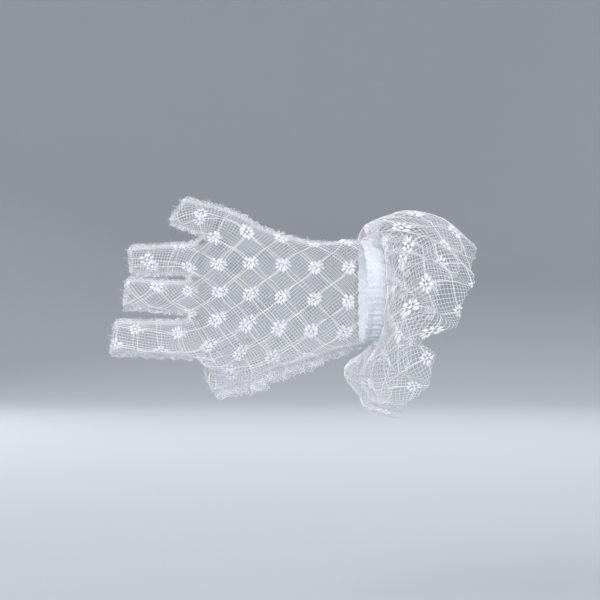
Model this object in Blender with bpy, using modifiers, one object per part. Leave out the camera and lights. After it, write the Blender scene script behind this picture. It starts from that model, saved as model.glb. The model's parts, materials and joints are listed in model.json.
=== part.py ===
"""Right-hand fingerless lace glove with a gathered wrist ruffle, as a worn shape.

+X runs up the forearm, +Z to the little-finger side, +Y to the palm.
The origin is the middle of the wrist elastic.
"""

from math import cos, pi, radians, sin

import bpy
from mathutils import Matrix, Vector

# Overall sizes, in metres.
palm_breadth = 0.078        # across the four knuckles
palm_reach = 0.096          # from the elastic to the root of the middle finger
palm_depth = 0.027          # back to palm, at the knuckles
wrist_height = 0.060        # ulnar to radial side, over the elastic
wrist_depth = 0.042         # back to palm, over the elastic

# Cloth and sewing.
lace_wall = 0.0008          # the lace with its folds and gathers
seam_radius = 0.0011        # a rolled, oversewn side seam
elastic_width = 0.011
elastic_wall = 0.0012
stitch_radius = 0.0003
heading_radius = 0.0012     # the gathered raw edge of the ruffle beside the elastic
ruffle_depth = 0.062        # elastic to free edge, along the cloth
gap = 0.0003                # between neighbouring pieces

# The soft ring at the root of each stall, where it bends.
root_length = 0.016

# Where the hand part widens: share of the reach, edges as shares of the breadth, depth share.
hand_sections = [
    dict(along=0.18, ulnar=0.363, radial=-0.477, depth=1.35),
    dict(along=0.37, ulnar=0.391, radial=-0.558, depth=1.20),
    dict(along=0.49, ulnar=0.430, radial=-0.571, depth=1.15),
    dict(along=0.60, ulnar=0.485, radial=-0.478, depth=1.08),
    dict(along=0.80, ulnar=0.575, radial=-0.476, depth=1.00),
    dict(along=1.00, ulnar=0.648, radial=-0.478, depth=0.80),
]

# Each stall: where its root starts, how it points, its widths as shares of the breadth.
digits = {
    "little": dict(
        along=0.895, across=0.535, toward_palm=0.0, splay=20, dip=0,
        root_width=0.21, end_width=0.185, length=0.0135,
    ),
    "ring": dict(
        along=1.0, across=0.260, toward_palm=0.0, splay=0.6, dip=0,
        root_width=0.23, end_width=0.200, length=0.026,
    ),
    "middle": dict(
        along=1.0, across=-0.045, toward_palm=0.0, splay=4.5, dip=0,
        root_width=0.24, end_width=0.220, length=0.028,
    ),
    "index": dict(
        along=1.0, across=-0.350, toward_palm=0.0, splay=1.5, dip=0,
        root_width=0.25, end_width=0.225, length=0.0355,
    ),
    "thumb": dict(
        along=0.635, across=-0.562, toward_palm=0.30, splay=-16, dip=14,
        root_width=0.24, end_width=0.210, length=0.0155,
    ),
}

# The ruffle's rings, from the elastic to the free edge: top and bottom points as
# shares of the ruffle's depth from the middle of the wrist, and the half depth.
ruffle_rings = [
    dict(top=(0.20, 0.66), bottom=(0.04, -0.64), half=0.46),
    dict(top=(0.40, 0.76), bottom=(-0.16, -0.86), half=0.56),
    dict(top=(0.66, 0.66), bottom=(-0.07, -1.06), half=0.62),
    dict(top=(0.96, 0.36), bottom=(0.32, -1.16), half=0.58),
]
ruffle_folds = 11
ruffle_wave = 0.0042        # how far the folds stand out at the free edge

# Colours, linear.
lace_white = (0.80, 0.80, 0.84, 1)
thread_white = (0.86, 0.85, 0.86, 1)
elastic_white = (0.62, 0.68, 0.74, 1)

# Mesh steps.
half_steps = 18
ring_steps = 28
wrist_steps = 48
fold_steps = 9

elastic_edge = elastic_width / 2
panel_start = elastic_edge + gap


def clear_scene():
    for obj in list(bpy.data.objects):
        bpy.data.objects.remove(obj, do_unlink=True)
    glove = bpy.data.collections.new("lace_wedding_glove")
    bpy.context.scene.collection.children.link(glove)
    return glove


def add_material(name, colour, roughness):
    material = bpy.data.materials.new(name)
    material.use_nodes = True
    shader = material.node_tree.nodes["Principled BSDF"]
    shader.inputs["Base Color"].default_value = colour
    shader.inputs["Roughness"].default_value = roughness
    shader.inputs["Metallic"].default_value = 0
    return material


def add_skin(name, rows, closed, wall, colour, parent=None):
    """Skins rows of points with quads and thickens the sheet inwards from its outer face."""
    width = len(rows[0])
    spans = width if closed else width - 1
    faces = []
    for row in range(len(rows) - 1):
        for step in range(spans):
            after = (step + 1) % width
            faces.append((
                row * width + step,
                row * width + after,
                (row + 1) * width + after,
                (row + 1) * width + step,
            ))
    mesh = bpy.data.meshes.new(name)
    mesh.from_pydata([point for row in rows for point in row], [], faces)
    mesh.polygons.foreach_set("use_smooth", [True] * len(faces))
    mesh.materials.append(add_material(name, colour, 0.9))
    obj = bpy.data.objects.new(name, mesh)
    glove.objects.link(obj)
    obj.parent = parent
    thicken = obj.modifiers.new("wall", "SOLIDIFY")
    thicken.thickness = wall
    thicken.offset = -1
    thicken.use_even_offset = True
    return obj


def add_thread(name, points, radius, colour, cyclic=False, roundness=2, parent=None):
    curve = bpy.data.curves.new(name, "CURVE")
    curve.dimensions = "3D"
    curve.bevel_depth = radius
    curve.bevel_resolution = roundness
    curve.use_fill_caps = not cyclic
    spline = curve.splines.new("POLY")
    spline.points.add(len(points) - 1)
    for spot, point in zip(spline.points, points):
        spot.co = (*point, 1)
    spline.use_cyclic_u = cyclic
    spline.use_smooth = True
    curve.materials.append(add_material(name, colour, 0.8))
    obj = bpy.data.objects.new(name, curve)
    glove.objects.link(obj)
    obj.parent = parent
    return obj


def mix(a, b, share):
    return a + (b - a) * share


def digit_direction(digit):
    """Unit vector from a stall's root to its opening."""
    splay = radians(digit["splay"])
    dip = radians(digit["dip"])
    return Vector((-cos(splay) * cos(dip), sin(dip), sin(splay) * cos(dip)))


def digit_start(digit):
    """Middle of the ring where a stall's root meets the hand part."""
    lean = abs(sin(radians(digit["splay"]))) * digit["root_width"] * palm_breadth / 2
    clear = panel_start + gap
    if digit["along"] == 1:
        clear += lean
    return Vector((
        -(clear + digit["along"] * palm_reach),
        digit["toward_palm"] * palm_depth,
        digit["across"] * palm_breadth,
    ))


def digit_pivot(digit):
    return digit_start(digit) + digit_direction(digit) * root_length / 2


def knuckle_line():
    """Points (z, x) that run just behind the four finger roots, from the ulnar edge down."""
    line = []
    for name in ("little", "ring", "middle", "index"):
        digit = digits[name]
        half = digit["root_width"] * palm_breadth / 2 + gap
        across = Vector((digit_direction(digit).z, 0, -digit_direction(digit).x))
        for side in (1, -1):
            corner = digit_start(digit) + across * half * side
            line.append((corner.z, corner.x + gap))
    return line


def knuckle_x(z):
    line = knuckle_line()
    if z >= line[0][0]:
        return line[0][1]
    for (above, x_above), (below, x_below) in zip(line, line[1:]):
        if z >= below:
            return mix(x_above, x_below, (above - z) / (above - below))
    return line[-1][1]


def section_list():
    """Hand sections as (along, ulnar z, radial z, half depth), the wrist's first."""
    sections = [(0, wrist_height / 2, -wrist_height / 2, wrist_depth / 2)]
    for part in hand_sections:
        sections.append((
            part["along"],
            part["ulnar"] * palm_breadth,
            part["radial"] * palm_breadth,
            part["depth"] * palm_depth / 2,
        ))
    return sections


def section_point(section, angle, side):
    """Point of one hand section. Angle 0 is the ulnar edge; side is 1 on the palm, -1 on the back."""
    along, ulnar, radial, half_depth = section
    last = section_list()[-1]
    share = (1 - cos(angle)) / 2
    reach = knuckle_x(mix(last[1], last[2], share)) + panel_start
    return Vector((
        -panel_start + along * reach,
        side * sin(angle) * half_depth,
        mix(ulnar, radial, share),
    ))


def build_hand_panel(name, side):
    rows = []
    for section in section_list():
        edge = (seam_radius + lace_wall + gap) / section[3]
        angles = [mix(edge, pi - edge, step / half_steps) for step in range(half_steps + 1)]
        row = [section_point(section, angle, side) for angle in angles]
        rows.append(row[::-1] if side < 0 else row)
    return add_skin(name, rows, False, lace_wall, lace_white)


def build_edge_seam(name, angle, first, last):
    """A side seam of the hand part, along the sections from first to last."""
    points = [section_point(section, angle, 1) for section in section_list()[first:last + 1]]
    return add_thread(name, points, seam_radius, thread_white)


def build_crotch_seam(name, above, below):
    """The seam in the gap between the roots of two neighbouring fingers."""
    upper = digits[above]
    lower = digits[below]
    half_root = palm_breadth / 2
    points = []
    for share in (0.04, 0.5):
        high = digit_start(upper) + digit_direction(upper) * root_length * share
        low = digit_start(lower) + digit_direction(lower) * root_length * share
        high.z -= upper["root_width"] * half_root
        low.z += lower["root_width"] * half_root
        points.append(Vector((min(high.x, low.x), 0, (high.z + low.z) / 2)))
    return add_thread(name, points, seam_radius, thread_white)


def add_pivot(name, digit):
    """Empty on a stall's joint axis: local X out along the stall, Y to the palm, Z the axis."""
    out = digit_direction(digit)
    axis = out.cross(Vector((0, 1, 0))).normalized()
    palmward = axis.cross(out)
    pivot = bpy.data.objects.new(name + "_pivot", None)
    pivot.matrix_world = Matrix.Translation(digit_pivot(digit)) @ Matrix(
        (out, palmward, axis)
    ).transposed().to_4x4()
    glove.objects.link(pivot)
    return pivot


def stall_radius(digit, out):
    """Radius of the root ring and stall at a distance out from the joint axis."""
    full = root_length / 2 + digit["length"]
    share = max(0, min(1, out / full))
    return mix(digit["root_width"], digit["end_width"], share) * palm_breadth / 2


def stall_rows(digit, start, end, count, angles):
    rows = []
    for row in range(count + 1):
        out = mix(start, end, row / count)
        radius = stall_radius(digit, out)
        rows.append([Vector((out, sin(a) * radius, -cos(a) * radius)) for a in angles])
    return rows


def build_root_ring(name, digit, pivot):
    """The soft lace at the root of a stall, which folds when the finger bends."""
    angles = [2 * pi * step / ring_steps for step in range(ring_steps)]
    half = root_length / 2 - gap
    rows = stall_rows(digit, -half, half, 3, angles)
    return add_skin(name, rows, True, lace_wall, lace_white, pivot)


def build_stall(name, digit, pivot):
    start = root_length / 2
    end = start + digit["length"]
    edge = (seam_radius + lace_wall + gap) / stall_radius(digit, end)
    steps = half_steps - 4
    sweep = [mix(edge, pi - edge, step / steps) for step in range(steps + 1)]
    palm = stall_rows(digit, start, end, 3, sweep)
    back = stall_rows(digit, start, end, 3, [-angle for angle in sweep[::-1]])
    add_skin(name + "_stall_palm", palm, False, lace_wall, lace_white, pivot)
    add_skin(name + "_stall_back", back, False, lace_wall, lace_white, pivot)
    for side, seam in ((-1, "_ulnar_seam"), (1, "_radial_seam")):
        line = [
            Vector((out, 0, side * stall_radius(digit, out)))
            for out in (start, end)
        ]
        add_thread(name + seam, line, seam_radius, thread_white, parent=pivot)


def wrist_ring(x, grow, steps):
    """Closed ring around the wrist, grown outwards from the elastic's outer face."""
    points = []
    for step in range(steps):
        angle = 2 * pi * step / steps
        points.append(Vector((
            x,
            -sin(angle) * (wrist_depth / 2 + grow),
            cos(angle) * (wrist_height / 2 + grow),
        )))
    return points


def build_elastic():
    rows = [wrist_ring(x, 0, wrist_steps) for x in (-elastic_edge, 0, elastic_edge)]
    return add_skin("wrist_elastic", rows, True, elastic_wall, elastic_white)


def build_stitching(name, x):
    """Zigzag of thread that lies round the outside of the elastic."""
    turns = 2 * wrist_steps
    ring = wrist_ring(x, stitch_radius + 2 * gap, turns)
    for step, point in enumerate(ring):
        point.x += elastic_width * 0.12 * (-1 if step % 2 else 1)
    return add_thread(name, ring, stitch_radius, thread_white, True, 0)


def build_heading():
    """Gathered raw edge of the ruffle, rolled against the elastic."""
    ring = wrist_ring(elastic_edge + 2 * gap + heading_radius, 0, wrist_steps)
    return add_thread("ruffle_heading", ring, heading_radius, lace_white, True, 1)


def ruffle_guides():
    """Rings (top x, top z, bottom x, bottom z, half depth) that the ruffle passes through."""
    start = elastic_edge + 3 * gap + 2 * heading_radius
    guides = [(start, wrist_height / 2, start, -wrist_height / 2, wrist_depth / 2)]
    for ring in ruffle_rings:
        sizes = (*ring["top"], *ring["bottom"], ring["half"])
        guides.append(tuple(size * ruffle_depth for size in sizes))
    return guides


def smooth_between(guides, position):
    """Catmull-Rom value of each guide number at a position counted in guides."""
    last = len(guides) - 1
    index = min(int(position), last - 1)
    part = position - index
    values = []
    for item in range(len(guides[0])):
        a, b, c, d = (
            guides[max(0, min(last, index + offset))][item] for offset in (-1, 0, 1, 2)
        )
        values.append(0.5 * (
            2 * b + (c - a) * part
            + (2 * a - 5 * b + 4 * c - d) * part ** 2
            + (3 * b - a - 3 * c + d) * part ** 3
        ))
    return values


def build_ruffle():
    guides = ruffle_guides()
    count = 9
    steps = ruffle_folds * fold_steps
    rows = []
    for row in range(count + 1):
        share = row / count
        place = smooth_between(guides, share * (len(guides) - 1))
        top = Vector((place[0], 0, place[1]))
        bottom = Vector((place[2], 0, place[3]))
        middle = (top + bottom) / 2
        rise = (top - bottom) / 2
        points = []
        for step in range(steps):
            angle = 2 * pi * step / steps
            wave = ruffle_wave * share * cos(ruffle_folds * angle)
            outward = rise.normalized() * cos(angle) + Vector((0, -sin(angle), 0))
            points.append(
                middle + rise * cos(angle) + Vector((0, -sin(angle) * place[4], 0))
                + outward * wave
            )
        rows.append(points)
    return add_skin("ruffle", rows, True, lace_wall, lace_white)


glove = clear_scene()

build_hand_panel("back_panel", -1)
build_hand_panel("palm_panel", 1)
build_edge_seam("ulnar_side_seam", 0, 0, 6)
build_edge_seam("radial_side_seam", pi, 0, 3)
build_edge_seam("thumb_index_seam", pi, 4, 6)
build_crotch_seam("little_ring_crotch", "little", "ring")
build_crotch_seam("ring_middle_crotch", "ring", "middle")
build_crotch_seam("middle_index_crotch", "middle", "index")

for digit_name, digit_sizes in digits.items():
    digit_joint = add_pivot(digit_name, digit_sizes)
    build_root_ring(digit_name + "_root", digit_sizes, digit_joint)
    build_stall(digit_name, digit_sizes, digit_joint)

build_elastic()
build_stitching("hand_side_stitching", -elastic_width * 0.32)
build_stitching("ruffle_side_stitching", elastic_width * 0.32)
build_heading()
build_ruffle()
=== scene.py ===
import json
from math import cos, pi, radians, sin

import bpy
import numpy as np
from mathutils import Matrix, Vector


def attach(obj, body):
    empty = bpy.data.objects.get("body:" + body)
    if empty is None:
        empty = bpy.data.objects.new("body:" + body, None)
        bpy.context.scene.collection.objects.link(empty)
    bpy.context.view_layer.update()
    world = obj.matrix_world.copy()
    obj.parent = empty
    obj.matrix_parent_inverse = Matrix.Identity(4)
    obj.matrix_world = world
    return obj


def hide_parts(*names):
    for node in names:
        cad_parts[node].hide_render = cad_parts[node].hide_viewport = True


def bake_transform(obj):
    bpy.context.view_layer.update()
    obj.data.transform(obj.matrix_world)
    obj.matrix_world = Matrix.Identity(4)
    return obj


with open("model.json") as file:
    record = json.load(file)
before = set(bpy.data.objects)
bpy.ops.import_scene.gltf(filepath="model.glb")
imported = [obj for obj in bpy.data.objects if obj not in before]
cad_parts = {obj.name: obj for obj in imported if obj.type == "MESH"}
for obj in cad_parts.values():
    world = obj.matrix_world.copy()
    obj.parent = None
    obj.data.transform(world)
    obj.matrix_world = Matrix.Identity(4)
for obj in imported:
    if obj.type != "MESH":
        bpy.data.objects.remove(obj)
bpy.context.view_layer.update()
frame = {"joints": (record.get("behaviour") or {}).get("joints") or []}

digitNames = ["little", "ring", "middle", "index", "thumb"]


class Wire:  # a shader socket that takes part in sums
    def __init__(self, tree, socket):
        self.tree = tree
        self.socket = socket

    def math(self, operation, other=None, swap=False):
        node = self.tree.nodes.new("ShaderNodeMath")
        node.operation = operation
        values = [self, other][::-1] if swap else [self, other]
        for place, value in enumerate(values):
            if isinstance(value, Wire):
                self.tree.links.new(value.socket, node.inputs[place])
            elif value is not None:
                node.inputs[place].default_value = value
        return Wire(self.tree, node.outputs[0])

    def __add__(self, other): return self.math("ADD", other)
    def __radd__(self, other): return self.math("ADD", other, True)
    def __sub__(self, other): return self.math("SUBTRACT", other)
    def __rsub__(self, other): return self.math("SUBTRACT", other, True)
    def __mul__(self, other): return self.math("MULTIPLY", other)
    def __rmul__(self, other): return self.math("MULTIPLY", other, True)


class Nodes:  # a node tree under construction, for shaders and for geometry
    def __init__(self, tree):
        self.tree = tree

    def add(self, kind, settings=None, **values):
        node = self.tree.nodes.new(kind)
        for name, value in (settings or {}).items():
            setattr(node, name, value)
        for name, value in values.items():
            place = name[2:] if name.startswith("at") else name
            key = int(place) if place.isdigit() else place.replace("_", " ")
            self.put(node.inputs[key], value)
        return node

    def put(self, socket, value):
        if isinstance(value, Wire):
            value = value.socket
        if hasattr(value, "is_linked"):
            self.tree.links.new(value, socket)
        else:
            socket.default_value = value

    def wire(self, socket):
        return Wire(self.tree, socket)


def makeClothMaterial(name, look):
    material = bpy.data.materials.new(name)
    material.use_nodes = True
    tree = Nodes(material.node_tree)
    shader = material.node_tree.nodes["Principled BSDF"]
    place = tree.add("ShaderNodeTexCoord").outputs["Object"]
    cloud = tree.add("ShaderNodeTexNoise", {"noise_dimensions": "3D"},
                     Vector=place, Scale=look["cloudScale"], Detail=3.0)
    fibre = tree.add("ShaderNodeTexNoise", {"noise_dimensions": "3D"},
                     Vector=place, Scale=look["fibreScale"], Detail=2.0)
    blend = tree.add("ShaderNodeMix", {"data_type": "RGBA"},
                     at0=tree.wire(cloud.outputs["Fac"]), at6=look["shade"], at7=look["light"])
    tree.put(shader.inputs["Base Color"], blend.outputs[2])
    rough = tree.wire(fibre.outputs["Fac"]) * look["roughSpread"] + look["roughness"]
    tree.put(shader.inputs["Roughness"], rough)
    bump = tree.add("ShaderNodeBump", None, Height=fibre.outputs["Fac"],
                    Strength=look["bump"], Distance=look["bumpDepth"])
    tree.put(shader.inputs["Normal"], bump.outputs["Normal"])
    shader.inputs["Sheen Weight"].default_value = look["sheen"]
    shader.inputs["Sheen Roughness"].default_value = 0.5
    shader.inputs["IOR"].default_value = 1.5
    return material


def colour(red, green, blue):  # screen colour to linear
    def one(value):
        value /= 255
        return value / 12.92 if value <= 0.04045 else ((value + 0.055) / 1.055) ** 2.4
    return (one(red), one(green), one(blue), 1.0)


netLook = {"shade": colour(232, 232, 242), "light": colour(252, 252, 255), "cloudScale": 90.0,
           "fibreScale": 3000.0, "roughness": 0.55, "roughSpread": 0.2, "bump": 0.3,
           "bumpDepth": 0.00005, "sheen": 0.2}
lineLook = dict(netLook, shade=colour(246, 243, 234), light=colour(255, 254, 249), roughness=0.45)
flowerLook = dict(netLook, shade=colour(228, 226, 238), light=colour(252, 251, 255),
                  fibreScale=1600.0, bump=0.7, bumpDepth=0.0001, sheen=0.4)
threadLook = dict(netLook, shade=colour(226, 226, 232), light=colour(250, 250, 252))

netThread = makeClothMaterial("lace_net_thread", netLook)
lineThread = makeClothMaterial("lace_trellis_thread", lineLook)
flowerThread = makeClothMaterial("lace_flower_floss", flowerLook)
sewingThread = makeClothMaterial("sewing_thread", threadLook)


handShape = {  # along the hand: place, little-finger edge, thumb edge, half depth
    "place": [-0.112, -0.104, -0.095, -0.080, -0.065, -0.050, -0.036, -0.022, -0.012, -0.004, 0.012],
    "ulnar": [0.0470, 0.0500, 0.0505, 0.0450, 0.0380, 0.0330, 0.0295, 0.0285, 0.0300, 0.0295, 0.0290],
    "radial": [-.0365, -.0367, -.0375, -.0388, -.0405, -.0405, -.0378, -.0335, -.0312, -.0298, -.0295],
    "depth": [0.0090, 0.0105, 0.0120, 0.0138, 0.0155, 0.0172, 0.0185, 0.0195, 0.0205, 0.0200, 0.0195],
}
digitShape = {  # middle line and radius of each stall, root first; cut is how far past its joint it is cut
    "little": {"line": [(-.080, 0, .0365), (-.0990, 0, .0438), (-.1160, 0, .0500), (-.130, 0, .0552)],
               "radius": [.0080, .0076, .0068, .0064], "cut": 0.0165, "slant": -0.25},
    "ring": {"line": [(-.085, 0, .0190), (-.1100, 0, .0203), (-.1450, 0, .0193), (-.160, 0, .0190)],
             "radius": [.0085, .0080, .0066, .0062], "cut": 0.0335, "slant": 0.10},
    "middle": {"line": [(-.085, 0, -.0040), (-.1100, 0, -.0028), (-.1470, 0, .0002), (-.162, 0, .0014)],
               "radius": [.0088, .0082, .0070, .0066], "cut": 0.0355, "slant": -0.05},
    "index": {"line": [(-.085, 0, -.0270), (-.1100, 0, -.0274), (-.1550, 0, -.0268), (-.170, 0, -.0266)],
              "radius": [.0096, .0094, .0082, .0078], "cut": 0.0430, "slant": -0.12},
    "thumb": {"line": [(-.042, .003, -.0255), (-.0600, .006, -.0345), (-.0745, .0100, -.0448),
                       (-.0985, .0162, -.0527), (-.114, .020, -.0570)],
              "radius": [.0115, .0100, .0083, .0074, .0070], "cut": 0.0235, "slant": 0.05},
}
web = {"place": (-.0880, .001, -.0400), "size": (.0125, .0105, .0065)}  # loose lace between thumb and index
fieldStep = 0.0015


def smoothLeast(a, b, width):
    share = np.clip(0.5 + 0.5 * (b - a) / width, 0, 1)
    return b + (a - b) * share - width * share * (1 - share)


def bentTube(p, line, radius):
    best = None
    for (a, b), (ra, rb) in zip(zip(line, line[1:]), zip(radius, radius[1:])):
        a = np.array(a)
        b = np.array(b)
        share = np.clip(((p - a) @ (b - a)) / ((b - a) @ (b - a)), 0, 1)
        gap = np.linalg.norm(p - a - share[..., None] * (b - a), axis=-1) - (ra + (rb - ra) * share)
        best = gap if best is None else np.minimum(best, gap)
    return best


def gloveField(p):  # distance outside the worn glove, in metres
    x, y, z = p[..., 0], p[..., 1], p[..., 2]
    ulnar = np.interp(x, handShape["place"], handShape["ulnar"])
    radial = np.interp(x, handShape["place"], handShape["radial"])
    depth = np.interp(x, handShape["place"], handShape["depth"])
    half = (ulnar - radial) / 2
    across = z - (ulnar + radial) / 2
    round1 = np.sqrt((across / half) ** 2 + (y / depth) ** 2) + 1e-9
    round2 = np.sqrt((across / half ** 2) ** 2 + (y / depth ** 2) ** 2) + 1e-9
    palm = round1 * (round1 - 1) / round2
    end = np.interp(z, [0.026, 0.034], [-0.1065, -0.0970])  # the crotch line between the fingers
    palm = -smoothLeast(-palm, x - end, 0.004)
    fingers = None
    for name in ("little", "ring", "middle", "index"):
        shape = digitShape[name]
        one = bentTube(p, shape["line"], shape["radius"])
        fingers = one if fingers is None else smoothLeast(fingers, one, 0.0012)
    thumb = bentTube(p, digitShape["thumb"]["line"], digitShape["thumb"]["radius"])
    field = smoothLeast(smoothLeast(palm, fingers, 0.006), thumb, 0.007)
    offset = (p - np.array(web["place"])) / np.array(web["size"])
    reach = np.linalg.norm(offset, axis=-1)
    return smoothLeast(field, (reach - 1) * min(web["size"]), 0.005)


def fieldNormal(p):
    step = 0.0002
    slope = np.stack([gloveField(p + d) - gloveField(p - d) for d in np.eye(3) * step], -1)
    return slope / np.maximum(np.linalg.norm(slope, axis=-1, keepdims=True), 1e-12)


def netSurface(low, high, step):  # points and quads where the field crosses zero
    axes = [np.arange(a, b + step, step) for a, b in zip(low, high)]
    grid = np.stack(np.meshgrid(*axes, indexing="ij"), -1)
    field = gloveField(grid)
    corners = [(i, j, k) for i in (0, 1) for j in (0, 1) for k in (0, 1)]
    size = [n - 1 for n in field.shape]

    def corner(values, c):
        return values[c[0]:c[0] + size[0], c[1]:c[1] + size[1], c[2]:c[2] + size[2]]
    total = np.zeros((*size, 3))
    count = np.zeros(size)
    for a in corners:
        for b in corners:
            if sum(b) - sum(a) != 1 or sum(m != n for m, n in zip(a, b)) != 1:
                continue
            fa, fb = corner(field, a), corner(field, b)
            cross = (fa < 0) != (fb < 0)
            share = np.where(cross, fa / np.where(cross, fa - fb, 1), 0)[..., None]
            spot = corner(grid, a) * (1 - share) + corner(grid, b) * share
            total += np.where(cross[..., None], spot, 0)
            count += cross
    used = count > 0
    number = np.full(size, -1)
    number[used] = np.arange(used.sum())
    points = total[used] / count[used][:, None]
    quads = []
    for axis in range(3):
        first = [slice(1, -1)] * 3
        second = list(first)
        first[axis] = slice(0, -1)
        second[axis] = slice(1, None)
        fa, fb = field[tuple(first)], field[tuple(second)]
        where = np.argwhere((fa < 0) != (fb < 0))
        rising = (fa < 0)[tuple(where.T)]
        spot = where + np.array([0 if n == axis else 1 for n in range(3)])
        u, v = [(1, 2), (2, 0), (0, 1)][axis]
        ring = []
        for du, dv in ((0, 0), (1, 0), (1, 1), (0, 1)):
            cell = spot.copy()
            cell[:, u] -= du
            cell[:, v] -= dv
            ring.append(number[tuple(cell.T)])
        ring = np.stack(ring, 1)
        ring[~rising] = ring[~rising][:, ::-1]
        quads.append(ring[(ring >= 0).all(1)])
    return points, np.concatenate(quads)


def keepBelow(points, faces, value):  # cuts triangles along value 0 and keeps the part under it
    under = value < 0
    count = under[faces].sum(1)
    kept = [tuple(f) for f in faces[count == 3]]
    points = list(points)
    made = {}

    def crossing(a, b):
        key = (min(a, b), max(a, b))
        if key not in made:
            share = value[a] / (value[a] - value[b])
            made[key] = len(points)
            points.append(points[a] + (points[b] - points[a]) * share)
        return made[key]
    for face in faces[(count == 1) | (count == 2)]:
        ring = []
        for a, b in zip(face, np.roll(face, -1)):
            if under[a]:
                ring.append(a)
            if under[a] != under[b]:
                ring.append(crossing(a, b))
        kept += [(ring[0], ring[n], ring[n + 1]) for n in range(1, len(ring) - 1)]
    kept = np.array(kept)
    used, back = np.unique(kept, return_inverse=True)
    return np.array(points)[used], back.reshape(-1, 3)


joints = {}
for joint in frame["joints"]:
    name = joint["name"].split("_")[0]
    axis = np.array(joint["axis"])
    outward = np.cross(np.array([0.0, 1.0, 0.0]), axis)
    if name == "thumb":
        line = digitShape["thumb"]["line"]
        outward = np.array(line[3]) - np.array(line[2])
    outward = outward / np.linalg.norm(outward)
    joints[name] = {"place": np.array(joint["pos_m"]), "axis": axis, "out": outward}


def alongDigit(p, name):
    return (p - joints[name]["place"]) @ joints[name]["out"]


def offDigit(p, name):
    out = joints[name]["out"]
    step = p - joints[name]["place"]
    return np.linalg.norm(step - (step @ out)[..., None] * out, axis=-1)


def regionOf(p, start=-0.008):  # 0 on the hand, 1 to 5 on a stall
    off = np.stack([offDigit(p, name) for name in digitNames], -1)
    along = np.stack([alongDigit(p, name) for name in digitNames], -1)
    off = np.where(along > start, off, 1)
    nearest = off.argmin(-1)
    return np.where(off.min(-1) < 0.0165, nearest + 1, 0)


def pastOpening(p):  # above zero beyond the cut ends of the stalls and the wrist
    value = p[:, 0] + 0.0045 - wristLean * p[:, 1] / -0.021
    region = regionOf(p)
    for number, name in enumerate(digitNames, 1):
        shape = digitShape[name]
        side = np.cross(joints[name]["out"], [0, 1, 0])
        slant = ((p - joints[name]["place"]) @ side) * shape["slant"]
        wobble = 0.0005 * np.sin(p[:, 1] * 900 + number) + 0.0004 * np.sin(p[:, 2] * 1300)
        past = alongDigit(p, name) - shape["cut"] + slant + wobble
        value = np.where(region == number, past, value)
    return value


def splitOf(p):  # above zero on the palm side of the side seams
    thumbMiddle = np.interp(p[:, 0], [-.115, -.0985, -.0745, -.060, -.042, -.025],
                            [.0200, .0162, .0100, .0055, .0020, 0])
    share = np.clip((-p[:, 2] - 0.0365) / 0.007, 0, 1)
    return p[:, 1] - thumbMiddle * share * share * (3 - 2 * share)


wristLean = 0.0032  # how far the elastic leans along the arm on the back of the wrist
points, quads = netSurface((-0.172, -0.034, -0.074), (0.0105, 0.037, 0.068), fieldStep)
for turn in range(3):
    points = points - fieldNormal(points) * gloveField(points)[:, None]
faces = np.concatenate([quads[:, [0, 1, 2]], quads[:, [0, 2, 3]]])
points, faces = keepBelow(points, faces, pastOpening(points))
side = splitOf(points)
halves = {"back": keepBelow(points, faces, side), "palm": keepBelow(points, faces, -side)}
print("worn shape", {name: len(half[1]) for name, half in halves.items()})


flatSide = 0.8  # metres that one unit of the flat map stands for


def makeMeshObject(name, points, faces):
    mesh = bpy.data.meshes.new(name)
    mesh.from_pydata([tuple(p) for p in points], [], [tuple(int(n) for n in f) for f in faces])
    mesh.validate()
    obj = bpy.data.objects.new(name, mesh)
    bpy.context.scene.collection.objects.link(obj)
    return obj


def pointsOf(obj):
    return np.array([v.co for v in obj.data.vertices])


def facesOf(obj):
    return np.array([p.vertices[:] for p in obj.data.polygons])


def setFlat(obj, flat):  # flat holds metres for each point
    layer = obj.data.uv_layers.get("flat") or obj.data.uv_layers.new(name="flat")
    corner = np.zeros(len(obj.data.loops), int)
    obj.data.loops.foreach_get("vertex_index", corner)
    layer.data.foreach_set("uv", (flat[corner] / flatSide + 0.5).astype(np.float32).ravel())


def flatten(obj, across):  # unrolls a panel, then turns it so that it lies as it is worn
    bpy.ops.object.select_all(action="DESELECT")
    obj.select_set(True)
    bpy.context.view_layer.objects.active = obj
    obj.data.uv_layers.new(name="flat")
    bpy.ops.object.mode_set(mode="EDIT")
    bpy.ops.mesh.select_all(action="SELECT")
    bpy.ops.uv.unwrap(method="MINIMUM_STRETCH", fill_holes=False, margin=0)
    bpy.ops.object.mode_set(mode="OBJECT")
    mesh = obj.data
    corner = np.zeros(len(mesh.loops), int)
    mesh.loops.foreach_get("vertex_index", corner)
    uv = np.zeros(len(mesh.loops) * 2)
    mesh.uv_layers["flat"].data.foreach_get("uv", uv)
    flat = np.zeros((len(mesh.vertices), 2))
    flat[corner] = uv.reshape(-1, 2)
    co, tri = pointsOf(obj), facesOf(obj)
    a, b, c = flat[tri[:, 0]], flat[tri[:, 1]], flat[tri[:, 2]]
    flatArea = np.abs(np.cross(b - a, c - a)).sum() / 2
    worn = np.cross(co[tri[:, 1]] - co[tri[:, 0]], co[tri[:, 2]] - co[tri[:, 0]])
    wornArea = np.linalg.norm(worn, axis=1).sum() / 2
    flat = (flat - flat.mean(0)) * np.sqrt(wornArea / flatArea)
    seen = np.stack([co[:, 0] * across, co[:, 2]], 1)
    offset = seen.mean(0)
    seen = seen - offset
    turn = np.arctan2((flat[:, 0] * seen[:, 1] - flat[:, 1] * seen[:, 0]).sum(), (flat * seen).sum())
    spin = np.array([[cos(turn), -sin(turn)], [sin(turn), cos(turn)]])
    flat = flat @ spin.T + offset
    setFlat(obj, flat)
    return flat


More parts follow.
